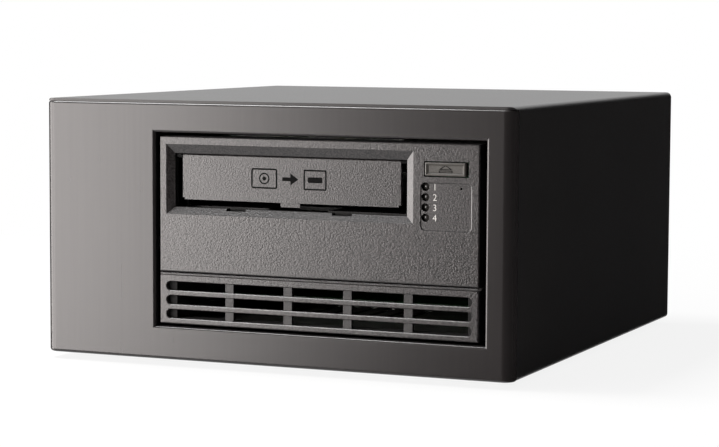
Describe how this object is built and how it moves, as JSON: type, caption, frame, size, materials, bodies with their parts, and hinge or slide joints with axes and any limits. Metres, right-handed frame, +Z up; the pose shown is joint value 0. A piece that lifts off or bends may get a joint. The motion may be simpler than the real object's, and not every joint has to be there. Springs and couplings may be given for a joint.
{
  "type": "external tape drive",
  "caption": "Desktop case with a full-height cartridge tape drive: hinged slot door, eject button, status lights, grille, internal loader and reels.",
  "frame": {"origin": "centre of the overall box, on the table under the feet", "axes": "+Z up, front faces -Y, +X to the right of someone facing the front"},
  "size_m": [0.222, 0.2418, 0.117],
  "materials": {
    "panel_paint": "satin, charcoal",
    "cover_paint": "satin powder coat, charcoal",
    "zinc_sheet": "zinc plated",
    "bezel_plastic": "fine textured, dark grey",
    "button_plastic": "satin, mid grey",
    "light_pipe": "smoked, satin",
    "foot_rubber": "matte",
    "screw_steel": "zinc plated",
    "black_plastic": "moulded",
    "switch_plastic": "gloss",
    "contact_metal": "nickel plated",
    "cast_metal": "as cast",
    "sheet_aluminium": "mill finish",
    "board_green": "solder resist",
    "board_brown": "bare laminate",
    "core_iron": "varnished laminations",
    "can_sleeve": "shrink sleeve",
    "ribbon_grey": "ribbed",
    "reel_plastic": "clear moulding",
    "motor_steel": "plated",
    "gear_plastic": "natural acetal",
    "spring_steel": "blackened wire",
    "connector_shell": "nickel plated"
  },
  "bodies": {
    "case": {"front_panel": "panel_paint", "top_cover": "cover_paint", "base_chassis": "zinc_sheet", "rear_panel": "cover_paint", "rubber_feet": "foot_rubber", "rear_screws": "screw_steel", "inner_screws": "screw_steel", "drive_bracket_left": "zinc_sheet", "drive_bracket_right": "zinc_sheet", "psu_bracket": "sheet_aluminium", "psu_board": "board_brown", "psu_transformer": "core_iron", "psu_capacitors": "can_sleeve", "psu_heatsinks": "sheet_aluminium", "power_inlet": "black_plastic", "inlet_blades": "contact_metal", "power_switch": "switch_plastic", "interface_sockets": "connector_shell", "jackscrews": "screw_steel", "ribbon_cable": "ribbon_grey", "drive_rear_sockets": "black_plastic", "fan_frame": "black_plastic", "fan_guard": "screw_steel", "drive_chassis": "cast_metal", "drive_top_plate": "zinc_sheet", "drive_bottom_plate": "zinc_sheet", "drive_board": "board_green", "drive_bezel": "bezel_plastic", "grille_panel": "bezel_plastic", "front_board": "board_green", "button_switch": "black_plastic", "status_lights": "light_pipe", "loader_guide": "zinc_sheet", "loader_motor": "motor_steel", "supply_motor": "motor_steel", "takeup_motor": "motor_steel", "roller_posts": "screw_steel", "head_stepper": "motor_steel", "head_rods": "screw_steel", "head_bridge": "zinc_sheet", "threader_motor": "motor_steel"},
    "fan": {"fan_rotor": "black_plastic"},
    "door": {"slot_door": "bezel_plastic", "door_spring": "spring_steel"},
    "button": {"eject_button": "button_plastic"},
    "rocker": {"power_rocker": "switch_plastic"},
    "tray": {"cartridge_tray": "black_plastic"},
    "cam": {"cam_slide": "zinc_sheet"},
    "pinion": {"loader_pinion": "gear_plastic"},
    "clutch": {"supply_clutch": "gear_plastic"},
    "takeup": {"takeup_reel": "reel_plastic"},
    "head": {"head_carriage": "sheet_aluminium", "tape_head": "motor_steel"},
    "lead_screw": {"head_lead_screw": "screw_steel"},
    "threader": {"threader_arm": "zinc_sheet", "pin_grabber": "black_plastic"},
    "roller_1": {"guide_roller_1": "sheet_aluminium"},
    "roller_2": {"guide_roller_2": "sheet_aluminium"},
    "roller_3": {"guide_roller_3": "sheet_aluminium"},
    "roller_4": {"guide_roller_4": "sheet_aluminium"}
  },
  "joints": [
    {"name": "door_swing", "type": "hinge", "parent": "case", "child": "door", "pos_m": [0.0078, -0.1162, 0.0929], "axis": [1, 0, 0], "range_deg": [0, 90], "stiffness_Nm_per_rad": 0.001, "springref_deg": -28.65},
    {"name": "eject_push", "type": "slide", "parent": "case", "child": "button", "axis": [0, 1, 0], "range_m": [0, 0.0012], "stiffness_N_per_m": 300, "springref_m": -0.002},
    {"name": "power_rock", "type": "hinge", "parent": "case", "child": "rocker", "pos_m": [-0.082, 0.1129, 0.086], "axis": [-1, 0, 0], "range_deg": [0, 20]},
    {"name": "fan_spin", "type": "hinge", "parent": "case", "child": "fan", "pos_m": [0.062, 0.0937, 0.058], "axis": [0, 1, 0], "continuous": true},
    {"name": "tray_drop", "type": "slide", "parent": "case", "child": "tray", "axis": [0, 0, -1], "range_m": [0, 0.008]},
    {"name": "cam_shift", "type": "slide", "parent": "case", "child": "cam", "axis": [0, 1, 0], "range_m": [0, 0.01]},
    {"name": "pinion_turn", "type": "hinge", "parent": "case", "child": "pinion", "pos_m": [0.0628, -0.0615, 0.0595], "axis": [-1, 0, 0], "range_deg": [0, 143.74]},
    {"name": "supply_spin", "type": "hinge", "parent": "case", "child": "clutch", "pos_m": [0.0078, -0.0615, 0.0534], "axis": [0, 0, 1], "continuous": true},
    {"name": "takeup_spin", "type": "hinge", "parent": "case", "child": "takeup", "pos_m": [-0.0018, 0.036, 0.06498], "axis": [0, 0, 1], "continuous": true},
    {"name": "head_lift", "type": "slide", "parent": "case", "child": "head", "axis": [0, 0, 1], "range_m": [-0.0045, 0.0045]},
    {"name": "lead_screw_turn", "type": "hinge", "parent": "case", "child": "lead_screw", "pos_m": [0.0856, 0.026, 0.0652], "axis": [0, 0, 1], "range_deg": [-540.02, 540.02]},
    {"name": "threader_swing", "type": "hinge", "parent": "case", "child": "threader", "pos_m": [0.03828, 0.02041, 0.08382], "axis": [0, 0, 1], "range_deg": [0, 197.18]},
    {"name": "roller_1_spin", "type": "hinge", "parent": "case", "child": "roller_1", "pos_m": [0.0776, -0.011, 0.06548], "axis": [0, 0, 1], "continuous": true},
    {"name": "roller_2_spin", "type": "hinge", "parent": "case", "child": "roller_2", "pos_m": [0.0831, 0.007, 0.06548], "axis": [0, 0, 1], "continuous": true},
    {"name": "roller_3_spin", "type": "hinge", "parent": "case", "child": "roller_3", "pos_m": [0.0831, 0.045, 0.06548], "axis": [0, 0, 1], "continuous": true},
    {"name": "roller_4_spin", "type": "hinge", "parent": "case", "child": "roller_4", "pos_m": [0.0736, 0.066, 0.06548], "axis": [0, 0, 1], "continuous": true}
  ],
  "couplings": [
    {"joint": "cam_shift", "follows": "tray_drop", "ratio": 1.25},
    {"joint": "pinion_turn", "follows": "tray_drop", "rad_per_m": 312.5},
    {"joint": "lead_screw_turn", "follows": "head_lift", "rad_per_m": 2094.4}
  ]
}
